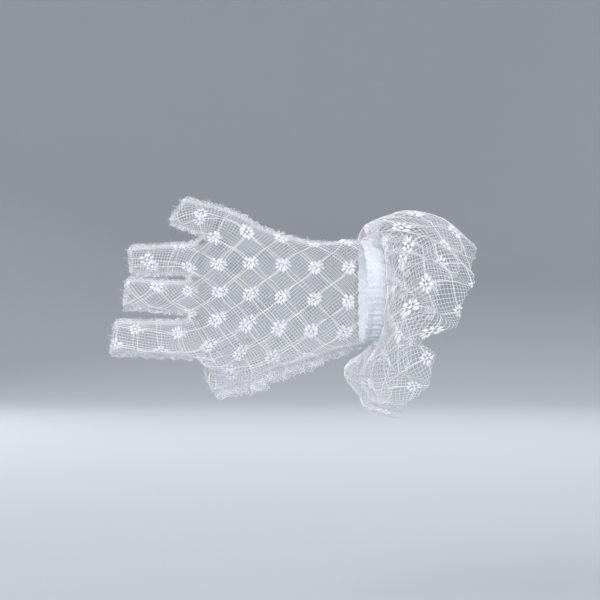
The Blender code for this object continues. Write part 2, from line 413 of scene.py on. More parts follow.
def pucker(co):  # small pleats where the wrist elastic draws the lace in
    share = np.clip((co[:, 0] + 0.020) / 0.014, 0, 1)
    angle = np.arctan2(co[:, 1] * 1.4, co[:, 2])
    wave = np.sin(angle * 41) * 0.6 + np.sin(angle * 67 + 1.3) * 0.4
    slack = np.clip((co[:, 2] - 0.014) / 0.012, 0, 1) * np.clip(1 - np.abs(co[:, 0] + 0.019) / 0.014, 0, 1)
    push = 0.0007 * share * wave + 0.0022 * slack * (1 + 0.4 * np.sin(co[:, 0] * 700))
    return co + fieldNormal(co) * push[:, None]


def splitPanel(obj, flat, label):  # one base for each body, a little over its edge so that the net meets
    co, tri = pointsOf(obj), facesOf(obj)
    middle = co[tri].mean(1)
    co = pucker(co)
    bases = {}
    region = regionOf(middle)
    wide = regionOf(middle, -0.0112)
    for number, name in enumerate(["hand"] + digitNames):
        mine = region == 0 if number == 0 else (wide == number) & ((region == number) | (region == 0))
        chosen = tri[mine]
        used, back = np.unique(chosen, return_inverse=True)
        base = makeMeshObject(f"{name}_{label}_base", co[used], back.reshape(-1, 3))
        setFlat(base, flat[used])
        bases[name] = {"object": base, "flat": flat[used]}
    bpy.data.objects.remove(obj)
    return bases


bases = {}
for label, across in (("back", 1), ("palm", -1)):
    panel = makeMeshObject(label, *halves[label])
    flat = flatten(panel, across)
    if label == "back":
        near = np.argmin(((pointsOf(panel) - np.array([-.0909, -.014, .0002])) ** 2).sum(1))
        flowerStart = flat[near]
    bases[label] = splitPanel(panel, flat, label)
print("flat patterns done")


# the lace is a Geometry Nodes pattern, laid flat and then carried onto a panel
patternTurn = radians(-5.5)


def turned(x, y):
    return np.array([x * cos(patternTurn) - y * sin(patternTurn),
                     x * sin(patternTurn) + y * cos(patternTurn)])


latticeA = turned(0.0100, 0.0092)  # from a flower to the knots beside it
latticeB = turned(0.0100, -0.0092)
netCells = 8  # net cells along one side of the trellis


def newTree(name, inputs):
    tree = bpy.data.node_groups.new(name, "GeometryNodeTree")
    tree.interface.new_socket("Geometry", in_out="INPUT", socket_type="NodeSocketGeometry")
    for label, kind in inputs.items():
        tree.interface.new_socket(label, in_out="INPUT", socket_type="NodeSocket" + kind)
    tree.interface.new_socket("Geometry", in_out="OUTPUT", socket_type="NodeSocketGeometry")
    nodes = Nodes(tree)
    given = tree.nodes.new("NodeGroupInput")
    wires = {socket.name: Wire(tree, socket) for socket in given.outputs if socket.name}
    return nodes, wires


def endTree(nodes, geometry, material=None):
    end = nodes.add("GeometryNodeSetShadeSmooth", None, Geometry=geometry).outputs[0]
    if material:
        end = nodes.add("GeometryNodeSetMaterial", None, Geometry=end, Material=material).outputs[0]
    nodes.put(nodes.tree.nodes.new("NodeGroupOutput").inputs[0], end)
    return nodes.tree


def moved(nodes, geometry, **values):
    return nodes.add("GeometryNodeTransform", None, Geometry=geometry, **values).outputs[0]


def copiesOn(nodes, spots, piece, **values):
    copies = nodes.add("GeometryNodeInstanceOnPoints", None, Points=spots, Instance=piece, **values)
    return nodes.add("GeometryNodeRealizeInstances", None, Geometry=copies.outputs[0]).outputs[0]


def threadAlong(nodes, curve, sides, radius):
    profile = nodes.add("GeometryNodeCurvePrimitiveCircle", None, Resolution=sides, Radius=radius)
    return nodes.add("GeometryNodeCurveToMesh", None, Curve=curve,
                     Profile_Curve=profile.outputs[0]).outputs[0]


def ball(nodes, segments, rings):
    return nodes.add("GeometryNodeMeshUVSphere", None, Segments=segments, Rings=rings, Radius=1.0).outputs[0]


def randomFloat(nodes, low, high, seed):
    return nodes.wire(nodes.add("FunctionNodeRandomValue", {"data_type": "FLOAT"},
                                at2=low, at3=high, Seed=seed).outputs[1])


def vectorSum(nodes, a, b):
    return nodes.add("ShaderNodeVectorMath", {"operation": "ADD"}, at0=a, at1=b).outputs[0]


def vectorTimes(nodes, a, number):
    return nodes.add("ShaderNodeVectorMath", {"operation": "SCALE"}, at0=a, Scale=number).outputs[0]


def joined(nodes, parts):
    join = nodes.tree.nodes.new("GeometryNodeJoinGeometry")
    for part in parts:
        nodes.tree.links.new(part, join.inputs[0])
    return join.outputs[0]


def onLattice(nodes, wires, geometry, bend=0.0):
    # moves points counted in trellis steps to flat metres
    place = nodes.add("GeometryNodeInputPosition").outputs[0]
    split = nodes.add("ShaderNodeSeparateXYZ", None, at0=place)
    i, j = (nodes.wire(split.outputs[n]) for n in (0, 1))
    flat = vectorSum(nodes, wires["Origin"], vectorTimes(nodes, wires["Step A"], i))
    flat = vectorSum(nodes, flat, vectorTimes(nodes, wires["Step B"], j))
    noise = nodes.add("ShaderNodeTexNoise", {"noise_dimensions": "3D"},
                      Vector=flat, Scale=160.0, Detail=1.0)
    jitter = vectorSum(nodes, noise.outputs["Color"], (-0.5, -0.5, -0.5))
    jitter = nodes.add("ShaderNodeVectorMath", {"operation": "MULTIPLY"}, at0=jitter,
                       at1=(0.0011, 0.0011, 0.0001)).outputs[0]
    flat = vectorSum(nodes, flat, jitter)
    if bend:
        swing = ((i + j) * pi).math("SINE") * bend
        flat = vectorSum(nodes, flat, vectorTimes(nodes, (0, 1.0, 0), swing))
    return nodes.add("GeometryNodeSetPosition", None, Geometry=geometry, Position=flat).outputs[0]


def threadFamily(nodes, wires, along, spacing, steps, radius, sides, height, bend=0.0):
    # parallel threads in one direction of the trellis
    low, high = wires["Low " + along], wires["High " + along]
    other = "J" if along == "I" else "I"
    lowLine, highLine = wires["Low " + other], wires["High " + other]

    def point(a, b):
        pair = (a, b) if along == "I" else (b, a)
        return nodes.add("ShaderNodeCombineXYZ", None, at0=pair[0], at1=pair[1]).outputs[0]
    line = nodes.add("GeometryNodeCurvePrimitiveLine", None, Start=point(low, 0.0), End=point(high, 0.0))
    line = nodes.add("GeometryNodeResampleCurve", None, Curve=line.outputs[0],
                     Count=(high - low) * steps + 1)
    starts = nodes.add("GeometryNodeMeshLine", None, Count=(highLine - lowLine) * spacing + 1,
                       Start_Location=point(0.0, lowLine), Offset=point(0.0, 1 / spacing))
    flat = onLattice(nodes, wires, copiesOn(nodes, starts.outputs[0], line.outputs[0]), bend)
    return moved(nodes, threadAlong(nodes, flat, sides, radius), Translation=(0, 0, height))


def trellisPoints(nodes, wires, odd):
    # points at the flowers, or at the knots between them
    low, high = wires["Low I"], wires["High I"]
    row = nodes.add("GeometryNodeMeshLine", None, Count=high - low + 1,
                    Start_Location=nodes.add("ShaderNodeCombineXYZ", None, at0=low).outputs[0],
                    Offset=(1.0, 0, 0))
    column = nodes.add("GeometryNodeMeshLine", None, Count=wires["High J"] - wires["Low J"] + 1,
                       Start_Location=nodes.add("ShaderNodeCombineXYZ", None, at1=wires["Low J"]).outputs[0],
                       Offset=(0, 1.0, 0))
    grid = copiesOn(nodes, column.outputs[0], row.outputs[0])
    split = nodes.add("ShaderNodeSeparateXYZ", None, at0=nodes.add("GeometryNodeInputPosition").outputs[0])
    parity = (nodes.wire(split.outputs[0]) + nodes.wire(split.outputs[1]) + 0.5).math("FLOORED_MODULO", 2.0)
    wrong = parity.math("LESS_THAN", 1.0) if odd else parity.math("GREATER_THAN", 1.0)
    kept = nodes.add("GeometryNodeDeleteGeometry", {"domain": "POINT"}, Geometry=grid, Selection=wrong)
    return onLattice(nodes, wires, kept.outputs[0])


flower = {
    "strokes": 8, "reach": 0.00226, "yarn": (0.00125, 0.00026, 0.00025),
    "lean": [0.05, -0.08, 0.04, 0.09, -0.05, 0.07, -0.09, 0.03],
    "swell": [1.0, 0.92, 1.06, 0.98, 1.03, 0.90, 1.05, 0.95],
    # the yarns of a stroke: along, across, up, turn, share of the full size
    "yarns": [(-0.00012, -0.00026, 0, -0.13, 0.90), (0.00010, 0, 0.00010, 0.03, 1.0),
              (-0.00004, 0.00027, 0, 0.11, 0.93)],
    "centre": (0.00066, 0.0006, 0.00036), "knot": (0.00062, 0.00052, 0.0003)}


def makeFlower(nodes):
    # fat padded strokes round a knot, with gaps that the net shows through
    yarn = ball(nodes, 5, 4)
    stroke = joined(nodes, [moved(nodes, yarn, Translation=(along, across, up), Rotation=(0, 0, turn),
                                  Scale=tuple(side * size for side in flower["yarn"]))
                            for along, across, up, turn, size in flower["yarns"]])
    strokes = []
    for n, (lean, swell) in enumerate(zip(flower["lean"], flower["swell"])):
        angle = 2 * pi * (n + 0.4) / flower["strokes"] + lean
        reach = flower["reach"] * swell
        strokes.append(moved(nodes, stroke, Scale=(swell,) * 3,
                             Translation=(cos(angle) * reach, sin(angle) * reach, 0.00010 * (n % 2)),
                             Rotation=(0, 0, angle + flower["lean"][-1 - n] * 2)))
    strokes.append(moved(nodes, ball(nodes, 8, 5), Scale=flower["centre"]))
    return joined(nodes, strokes)


def buildLaceTree():
    nodes, wires = newTree("lace_on_panel", {
        "Low I": "Float", "High I": "Float", "Low J": "Float", "High J": "Float", "Origin": "Vector",
        "Step A": "Vector", "Step B": "Vector",
        "Net Radius": "Float", "Line Radius": "Float", "Flower Scale": "Float"})
    net = joined(nodes, [threadFamily(nodes, wires, along, netCells, 8, wires["Net Radius"], 3, 0.0)
                         for along in "IJ"])
    lines = joined(nodes, [threadFamily(nodes, wires, along, 1, 10, wires["Line Radius"], 3, 0.00012, bend)
                           for along, bend in (("I", 0.0008), ("J", -0.0008))])
    turn = nodes.add("ShaderNodeCombineXYZ", None, at2=randomFloat(nodes, -0.15, 0.15, 7))
    flowers = copiesOn(nodes, trellisPoints(nodes, wires, False), makeFlower(nodes), Rotation=turn.outputs[0],
                       Scale=randomFloat(nodes, 0.9, 1.08, 3) * wires["Flower Scale"])
    knots = copiesOn(nodes, trellisPoints(nodes, wires, True),
                     moved(nodes, ball(nodes, 7, 4), Scale=flower["knot"]))
    raised = moved(nodes, joined(nodes, [flowers, knots]), Translation=(0, 0, 0.00022))
    dressed = [nodes.add("GeometryNodeSetMaterial", None, Geometry=part, Material=thread).outputs[0]
               for part, thread in ((net, netThread), (lines, lineThread), (raised, flowerThread))]
    flat = joined(nodes, dressed)

    place = nodes.add("GeometryNodeInputPosition").outputs[0]
    split = nodes.add("ShaderNodeSeparateXYZ", None, at0=place)
    spot = nodes.add("ShaderNodeCombineXYZ", None, at0=nodes.wire(split.outputs[0]) * (1 / flatSide) + 0.5,
                     at1=nodes.wire(split.outputs[1]) * (1 / flatSide) + 0.5).outputs[0]
    chart = nodes.add("GeometryNodeInputNamedAttribute", {"data_type": "FLOAT_VECTOR"}, Name="flat")
    onPanel, outward = [
        nodes.add("GeometryNodeSampleUVSurface", {"data_type": "FLOAT_VECTOR"}, Mesh=wires["Geometry"],
                  Value=value, UV_Map=chart.outputs[0], Sample_UV=spot)
        for value in (place, nodes.add("GeometryNodeInputNormal").outputs[0])]
    there = vectorSum(nodes, onPanel.outputs[0], vectorTimes(nodes, outward.outputs[0], split.outputs[2]))
    trimmed = nodes.add("GeometryNodeStoreNamedAttribute", {"data_type": "BOOLEAN", "domain": "POINT"},
                        Geometry=flat, Name="missing", Value=1 - nodes.wire(onPanel.outputs[1]))
    laid = nodes.add("GeometryNodeSetPosition", None, Geometry=trimmed.outputs[0], Position=there)
    gone = nodes.add("GeometryNodeInputNamedAttribute", {"data_type": "BOOLEAN"}, Name="missing")
    kept = nodes.add("GeometryNodeDeleteGeometry", {"domain": "POINT"}, Geometry=laid.outputs[0],
                     Selection=gone.outputs[0])
    clean = nodes.add("GeometryNodeRemoveAttribute", None, Geometry=kept.outputs[0], Name="missing")
    return endTree(nodes, clean.outputs[0])


def runTree(tree, guide, name, values):
    # evaluates the tree on the guide and leaves a plain mesh at the origin
    modifier = guide.modifiers.new("pattern", "NODES")
    modifier.node_group = tree
    for item in tree.interface.items_tree:
        if item.item_type == "SOCKET" and item.in_out == "INPUT" and item.name in values:
            value = values[item.name]
            modifier[item.identifier] = [float(v) for v in value] if hasattr(value, "__len__") else value
    guide.update_tag()
    bpy.context.view_layer.update()
    graph = bpy.context.evaluated_depsgraph_get()
    mesh = bpy.data.meshes.new_from_object(guide.evaluated_get(graph))
    mesh.name = name
    obj = bpy.data.objects.new(name, mesh)
    bpy.context.scene.collection.objects.link(obj)
    guide.modifiers.remove(modifier)
    bpy.data.objects.remove(guide)
    return obj


laceTree = buildLaceTree()


def layLace(base, flat, name, origin, net=0.000100, line=0.0002, scale=1.3, mirror=1):
    stepA, stepB = latticeA * (mirror, 1), latticeB * (mirror, 1)
    inverse = np.linalg.inv(np.stack([stepA, stepB], 1))
    low, high = flat.min(0), flat.max(0)
    corners = np.array([(x, y) for x in (low[0], high[0]) for y in (low[1], high[1])])
    steps = (corners - origin) @ inverse.T
    first, last = np.floor(steps.min(0)) - 1, np.ceil(steps.max(0)) + 1
    values = {"Low I": float(first[0]), "High I": float(last[0]), "Low J": float(first[1]),
              "High J": float(last[1]), "Origin": (*origin, 0),
              "Step A": (*stepA, 0), "Step B": (*stepB, 0), "Net Radius": net,
              "Line Radius": line, "Flower Scale": scale}
    base.data.shade_smooth()
    return runTree(laceTree, base, name, values)


def flatSize(base, flat):  # the sides and the area of a flat pattern cut into triangles
    a, b, c = (flat[corner] for corner in facesOf(base).T)
    area = np.abs((b - a)[:, 0] * (c - a)[:, 1] - (b - a)[:, 1] * (c - a)[:, 0]).sum() / 2
    return [float(side) for side in flat.max(0) - flat.min(0)], float(area)


pieces = {}  # every visible piece with the body it goes with
sheets = {}
# both panels are cut at once from folded lace, so the palm has the mirror image of the back
for label, mirror in (("back", 1), ("palm", -1)):
    for name, base in bases[label].items():
        size, area = flatSize(base["object"], base["flat"])
        lace = layLace(base["object"], base["flat"], f"{name}_lace_{label}", flowerStart * (mirror, 1),
                       mirror=mirror)
        pieces[lace.name] = {"object": lace, "body": name}
        sheets[lace.name] = {"flat": size, "area": area, "held": "stretched"}
print("panel lace", sum(len(p["object"].data.polygons) for p in pieces.values()))


def seamChains():  # polylines where the back and palm panels meet, each in order
    points, faces = halves["back"]
    shared = {tuple(spot) for spot in np.round(halves["palm"][0] * 1e6).astype(int).tolist()}
    both = np.array([tuple(spot) in shared for spot in np.round(points * 1e6).astype(int).tolist()])
    edges = {}
    for face in faces:
        for a, b in zip(face, np.roll(face, -1)):
            key = (min(a, b), max(a, b))
            edges[key] = edges.get(key, 0) + 1
    rim = [key for key, count in edges.items() if count == 1 and both[key[0]] and both[key[1]]]
    beside = {}
    for a, b in rim:
        beside.setdefault(a, []).append(b)
        beside.setdefault(b, []).append(a)
    chains = []
    left = {n for n in beside if len(beside[n]) == 1}
    done = set()
    while left:
        chain = [min(left, key=lambda n: (points[n][0], points[n][2]))]
        done.add(chain[0])
        while True:
            onward = [n for n in beside[chain[-1]] if n not in done]
            if not onward:
                break
            chain.append(onward[0])
            done.add(onward[0])
        left -= set(chain)
        if len(chain) > 8:
            chains.append(points[chain])
    return chains


def evenly(chain, step):
    length = np.concatenate([[0], np.cumsum(np.linalg.norm(np.diff(chain, axis=0), axis=1))])
    spots = np.linspace(0, length[-1], int(length[-1] / step) + 1)
    line = np.stack([np.interp(spots, length, chain[:, n]) for n in range(3)], 1)
    for turn in range(6):
        line[1:-1] = line[1:-1] / 2 + (line[:-2] + line[2:]) / 4
    return line, spots


chains = sorted(seamChains(), key=lambda c: -c[:, 2].mean())
print("seams", [(len(c), (c[0] * 1000).round().tolist(), (c[-1] * 1000).round().tolist()) for c in chains])

allowance = {"back": {"side": -1, "phase": 0.0}, "palm": {"side": 1, "phase": 1.9}}
# width at each seam, and how full its gathers are
seamLooks = [
    {"name": "ulnar_side", "replaces": "ulnar_side_seam", "wave": 0.0009,
     "width": [0.0036, 0.0030, 0.0026, 0.0030]},
    {"name": "little_ring", "replaces": "little_ring_crotch", "wave": 0.0010,
     "width": [0.0034, 0.0030, 0.0030, 0.0038]},
    {"name": "ring_middle", "replaces": "ring_middle_crotch", "wave": 0.0009,
     "width": [0.0034, 0.0026, 0.0026, 0.0034]},
    {"name": "middle_index", "replaces": "middle_index_crotch", "wave": 0.0010,
     "width": [0.0036, 0.0030, 0.0030, 0.0040]},
    {"name": "index_thumb", "replaces": "thumb_index_seam", "wave": 0.0011,
     "width": [0.0034, 0.0034, 0.0032, 0.0034]},
    {"name": "radial_side", "replaces": "radial_side_seam", "wave": 0.0017,
     "width": [0.0060, 0.0095, 0.0078, 0.0036]},
]
stripRows = 5


def pathFrames(line):
    along = np.gradient(line, axis=0)
    along /= np.linalg.norm(along, axis=1, keepdims=True)
    out = fieldNormal(line)
    out -= (out * along).sum(1, keepdims=True) * along
    for turn in range(8):
        out[1:-1] = out[1:-1] / 2 + (out[:-2] + out[2:]) / 4
    out /= np.linalg.norm(out, axis=1, keepdims=True)
    return along, out, np.cross(along, out)


def stripPoints(line, spots, look, layer):
    along, out, over = pathFrames(line)
    share = spots / spots[-1]
    width = np.interp(share, [0, 0.33, 0.66, 1], look["width"])
    turns = spots / 0.0047 + layer["phase"] + 0.5 * np.sin(spots * 310 + layer["phase"])
    slow = np.sin(spots * 2 * pi / 0.019 + layer["phase"] * 2)
    width = width * (1 + 0.16 * slow + 0.10 * np.sin(turns * 5.1))
    rows = []
    for row in range(stripRows + 1):
        v = row / stripRows
        lift = look["wave"] * v ** 0.8
        sway = lift * (np.sin(2 * pi * turns) + 0.45 * np.sin(2 * pi * turns * 2.3 + 1))
        drift = 0.0008 * v * np.cos(2 * pi * turns * 0.5)
        rows.append(line + out * (width * v)[:, None] + along * drift[:, None]
                    + over * (sway + layer["side"] * (0.0003 + 0.0010 * v * v))[:, None])
    return np.array(rows), width


def bodySpans(line):
    region = regionOf(line)
    cuts = [0] + [n for n in range(1, len(line)) if region[n] != region[n - 1]] + [len(line)]
    spans = []
    for a, b in zip(cuts, cuts[1:]):
        if b - a > 3:
            spans.append((int(region[a]), max(a - 1, 0), min(b + 1, len(line))))
    return spans


def spotsAlong(nodes, wires):
    curve = nodes.add("GeometryNodeMeshToCurve", None, Mesh=wires["Geometry"])
    return nodes.add("GeometryNodeCurveToPoints", {"mode": "COUNT"}, Curve=curve.outputs[0],
                     Count=wires["Count"])


def buildLoopTree():
    nodes, wires = newTree("overlock_loops", {
        "Count": "Int", "Loop Radius": "Float", "Thread Radius": "Float"})
    spots = spotsAlong(nodes, wires)
    ring = nodes.add("GeometryNodeCurvePrimitiveCircle", None, Resolution=9, Radius=wires["Loop Radius"])
    loop = threadAlong(nodes, ring.outputs[0], 4, wires["Thread Radius"])
    loop = moved(nodes, loop, Rotation=(0.5, 0.25, 0))
    return endTree(nodes, copiesOn(nodes, spots.outputs[0], loop, Rotation=spots.outputs[3],
                                   Scale=randomFloat(nodes, 0.75, 1.3, 5)), sewingThread)


def buildHairTree():
    nodes, wires = newTree("frayed_ends", {"Count": "Int", "Direction": "Vector", "Length": "Float",
                                           "Thread Radius": "Float", "Spread": "Float"})
    bend = nodes.add("GeometryNodeCurveQuadraticBezier", None, Resolution=5, Start=(0, 0, -0.2),
                     Middle=(0.10, 0.06, 0.5), End=(0.42, -0.12, 1.0))
    length = wires["Length"]
    size = nodes.add("ShaderNodeCombineXYZ", None, at0=length, at1=length, at2=length)
    hair = threadAlong(nodes, moved(nodes, bend.outputs[0], Scale=size.outputs[0]), 3, wires["Thread Radius"])
    stray = nodes.add("FunctionNodeRandomValue", {"data_type": "FLOAT_VECTOR"}, at0=(-1, -1, -1),
                      at1=(1, 1, 1), Seed=11)
    aim = vectorSum(nodes, wires["Direction"], vectorTimes(nodes, stray.outputs[0], wires["Spread"]))
    turn = nodes.add("FunctionNodeAlignRotationToVector", {"axis": "Z"}, Vector=aim)
    return endTree(nodes, copiesOn(nodes, spotsAlong(nodes, wires).outputs[0], hair, Rotation=turn.outputs[0],
                                   Scale=randomFloat(nodes, 0.35, 1.25, 2)), sewingThread)


loopTree = buildLoopTree()
hairTree = buildHairTree()


def makeGuide(points, closed=False):
    mesh = bpy.data.meshes.new("guide")
    count = len(points)
    links = [(n, n + 1) for n in range(count - 1)] + ([(count - 1, 0)] if closed else [])
    mesh.from_pydata([tuple(p) for p in points], links, [])
    guide = bpy.data.objects.new("guide", mesh)
    bpy.context.scene.collection.objects.link(guide)
    return guide


def lineLength(points):
    return float(np.linalg.norm(np.diff(points, axis=0), axis=1).sum())


def stripBase(name, rows, us, vs):
    count = rows.shape[1]
    points = rows.reshape(-1, 3)
    faces = []
    for row in range(rows.shape[0] - 1):
        for n in range(count - 1):
            a = row * count + n
            faces.append((a, a + 1, a + count + 1, a + count))
    base = makeMeshObject(name, points, faces)
    flat = np.stack([np.broadcast_to(us, rows.shape[:2]), vs], -1).reshape(-1, 2)
    setFlat(base, flat)
    return base, flat


hems = {}  # hem pieces of each lace panel
overlock = {"spacing": 0.0010, "rise": 0.0007, "loop": 0.00085, "thread": 0.00016}
looseThreads = {"spacing": 0.0030, "rise": 0.0022, "length": 0.0026, "thread": 0.00007}
opening = {"hairs": 44, "length": 0.0028, "hairThread": 0.000075, "loops": 40, "loop": 0.0007,
           "loopThread": 0.0001}


def freeName(name):
    while name in pieces:
        name += "_b"
    return name


def addHem(panel, obj, body, cad=()):  # a piece that edges a lace panel
    pieces[obj.name] = {"object": obj, "body": body, "cad": list(cad)}
    hems.setdefault(panel, []).append(obj)


for chain, look in zip(chains, seamLooks):
    line, spots = evenly(chain, 0.0006)
    spans = [((["hand"] + digitNames)[number], a, b) for number, a, b in bodySpans(line)]
    for label, layer in allowance.items():
        rows, width = stripPoints(line, spots, look, layer)
        for body, a, b in spans:
            us = spots[a:b] * 1.6 - 0.1
            vs = np.outer(np.linspace(0, 1, stripRows + 1), width[a:b]) * 1.3
            base, flat = stripBase("strip", rows[:, a:b], us, vs)
            origin = np.array([0.003 + 0.004 * layer["side"], 0.0016])
            strip = layLace(base, flat, freeName(f"{body}_{look['name']}_edge_{label}"), origin,
                            net=0.000140, line=0.0002, scale=0.9)
            addHem(f"{body}_lace_{label}", strip, body, [look["replaces"]])
    along, out, over = pathFrames(line)
    for body, a, b in spans:
        length = lineLength(line[a:b])
        name = freeName(f"{body}_{look['name']}_overlock")
        loops = runTree(loopTree, makeGuide((line + out * overlock["rise"])[a:b]), name,
                        {"Count": int(length / overlock["spacing"]), "Loop Radius": overlock["loop"],
                         "Thread Radius": overlock["thread"]})
        addHem(f"{body}_lace_back", loops, body)
        hairs = runTree(hairTree, makeGuide((line + out * looseThreads["rise"])[a:b]),
                        name.replace("overlock", "loose_threads"),
                        {"Count": int(length / looseThreads["spacing"]), "Length": looseThreads["length"],
                         "Direction": tuple(out[a:b].mean(0) * 0.4), "Thread Radius": looseThreads["thread"],
                         "Spread": 1.0})
        addHem(f"{body}_lace_back", hairs, body)
print("seam edges", sum(len(p["object"].data.polygons) for p in pieces.values()))

for digit in digitNames:  # raw ends of the stalls
    out = joints[digit]["out"]
    centre = joints[digit]["place"] + out * (digitShape[digit]["cut"] - 0.0006)
    side = np.cross(out, [0.0, 1.0, 0.0])
    side /= np.linalg.norm(side)
    over = np.cross(side, out)
    ring = []
    for step in range(48):
        angle = 2 * pi * step / 48
        aim = side * cos(angle) + over * sin(angle)
        start = centre + aim * 0.0085
        for turn in range(12):
            start = start - aim * gloveField(start[None])[0]
        slant = (start - joints[digit]["place"]) @ np.cross(out, [0, 1, 0]) * digitShape[digit]["slant"]
        ring.append(start - out * slant)
    hairs = runTree(hairTree, makeGuide(ring, True), f"{digit}_opening_threads",
                    {"Count": opening["hairs"], "Length": opening["length"], "Direction": tuple(out * 1.1),
                     "Thread Radius": opening["hairThread"], "Spread": 0.8})
    addHem(f"{digit}_lace_back", hairs, digit)
    loops = runTree(loopTree, makeGuide(ring, True), f"{digit}_opening_overcast",
                    {"Count": opening["loops"], "Loop Radius": opening["loop"],
                     "Thread Radius": opening["loopThread"]})
    addHem(f"{digit}_lace_back", loops, digit)


elastic = {"width": 0.0112, "wall": 0.0013, "halfDepth": 0.0205, "halfHeight": 0.0298, "ribs": 7}


def wristLine(x, grow, count):  # closed line round the wrist, from the little-finger side over the back
    angle = np.linspace(0, 2 * pi, count, endpoint=False)
    y = -np.sin(angle) * (elastic["halfDepth"] + grow)
    z = np.cos(angle) * (elastic["halfHeight"] + grow)
    bow = wristLean * np.clip(np.sin(angle), 0, 1) * 1.15
    outward = np.stack([0 * angle, -np.sin(angle), np.cos(angle)], 1)
    return np.stack([x + bow, y, z], 1), angle, outward


def closedSkin(name, loops, material):  # loops of points joined into a band that closes both ways
    count = len(loops[0])
    faces = []
    for a in range(len(loops)):
        b = (a + 1) % len(loops)
        for n in range(count):
            m = (n + 1) % count
            faces.append((a * count + n, a * count + m, b * count + m, b * count + n))
    obj = makeMeshObject(name, np.concatenate(loops), faces)
    obj.data.materials.append(material)
    obj.data.shade_smooth()
    return obj


def makeElasticMaterial(look):
    material = makeClothMaterial("knitted_elastic", look)
    tree = Nodes(material.node_tree)
    kinds = {}
    for node in material.node_tree.nodes:
        kinds.setdefault(node.bl_idname, []).append(node)
    place = kinds["ShaderNodeTexCoord"][0].outputs["Object"]
    split = tree.add("ShaderNodeSeparateXYZ", None, at0=place)
    x, y, z = (tree.wire(split.outputs[n]) for n in range(3))
    angle = z.math("ARCTAN2", y)
    knit = (angle * 260.0).math("SINE") * (x * (2 * pi / 0.0008)).math("SINE")
    fibre = tree.wire(kinds["ShaderNodeTexNoise"][1].outputs["Fac"])
    tree.put(kinds["ShaderNodeBump"][0].inputs["Height"], knit * 0.5 + fibre)
    return material


elasticMaterial = makeElasticMaterial({
    "shade": colour(212, 218, 227), "light": colour(236, 240, 246), "cloudScale": 60.0, "fibreScale": 1800.0,
    "roughness": 0.6, "roughSpread": 0.2, "bump": 0.6, "bumpDepth": 0.00025, "sheen": 0.3})


def makeElastic():
    loops = []
    count, rows = 300, 42
    for face in ("outer", "inner"):
        for row in range(rows + 1):
            share = row / rows if face == "outer" else 1 - row / rows
            x = (share - 0.5) * elastic["width"]
            rib = 0.00026 * abs(sin(share * pi * elastic["ribs"])) if face == "outer" else 0
            edge = -0.0004 * (2 * share - 1) ** 8
            grow = (elastic["wall"] if face == "outer" else 0.0001) + rib + edge
            line, angle, outward = wristLine(x, grow, count)
            crimp = 0.00022 * np.sin(angle * 58) + 0.00014 * np.sin(angle * 35 + 2)
            sway = 0.00030 * np.sin(angle * 23 + share * 2) + 0.00022 * np.sin(angle * 51)
            line = line + outward * (crimp * (1 if face == "outer" else 0.6))[:, None]
            line[:, 0] += sway
            loops.append(line)
    return closedSkin("wrist_elastic_band", loops, elasticMaterial)


pieces["wrist_elastic_band"] = {"object": makeElastic(), "body": "hand", "cad": ["wrist_elastic"]}


def buildZigzagTree():
    nodes, wires = newTree("zigzag_stitching", {
        "Count": "Int", "Amplitude": "Float", "Thread Radius": "Float"})
    curve = nodes.add("GeometryNodeMeshToCurve", None, Mesh=wires["Geometry"])
    even = nodes.add("GeometryNodeResampleCurve", {"mode": "COUNT"}, Curve=curve.outputs[0],
                     Count=wires["Count"])
    index = nodes.wire(nodes.add("GeometryNodeInputIndex").outputs[0])
    swing = (index * (pi / 2)).math("SINE") * wires["Amplitude"]
    offset = nodes.add("ShaderNodeCombineXYZ", None, at0=swing)
    shifted = nodes.add("GeometryNodeSetPosition", None, Geometry=even.outputs[0], Offset=offset.outputs[0])
    return endTree(nodes, threadAlong(nodes, shifted.outputs[0], 6, wires["Thread Radius"]), sewingThread)


zigzagTree = buildZigzagTree()
for name, x, cad in (("hand_side_zigzag", -0.0034, "hand_side_stitching"),
                     ("ruffle_side_zigzag", 0.0038, "ruffle_side_stitching")):
    line, angle, outward = wristLine(x, elastic["wall"] + 0.00035, 240)
    stitches = runTree(zigzagTree, makeGuide(line, True), name,
                       {"Count": 400, "Amplitude": 0.0013, "Thread Radius": 0.00017})
    pieces[name] = {"object": stitches, "body": "hand", "cad": [cad]}


ruffle = {"depth": 0.074, "fullness": 0.372, "columns": 760, "rows": 46}
# what the fabric passes through, seam first: little-finger side x z, thumb side x z, half depth
ruffleRings = [
    (0.0062, 0.0302, 0.0062, -0.0302, 0.0210),
    (0.0090, 0.0410, 0.0050, -0.0390, 0.0275),
    (0.0230, 0.0465, -0.0030, -0.0530, 0.0335),
    (0.0420, 0.0395, -0.0040, -0.0690, 0.0350),
    (0.0580, 0.0225, 0.0110, -0.0745, 0.0320),
]
ruffleFolds = [  # where the fabric doubles back on itself: angle, half width, push
    (0.62, 0.24, 0.17), (1.02, 0.26, 0.20), (1.36, 0.22, 0.15), (1.74, 0.26, 0.20), (2.20, 0.30, 0.25),
    (2.75, 0.24, 0.17), (3.35, 0.26, 0.18), (3.95, 0.26, 0.20), (4.50, 0.24, 0.17), (5.05, 0.26, 0.20),
    (5.60, 0.24, 0.17),
]


def smoothRings(rings, share):
    place = share * (len(rings) - 1)
    index = min(int(place), len(rings) - 2)
    part = place - index
    a, b, c, d = (np.array(rings[max(0, min(len(rings) - 1, index + n))]) for n in (-1, 0, 1, 2))
    return 0.5 * (2 * b + (c - a) * part + (2 * a - 5 * b + 4 * c - d) * part ** 2
                  + (3 * b - a - 3 * c + d) * part ** 3)


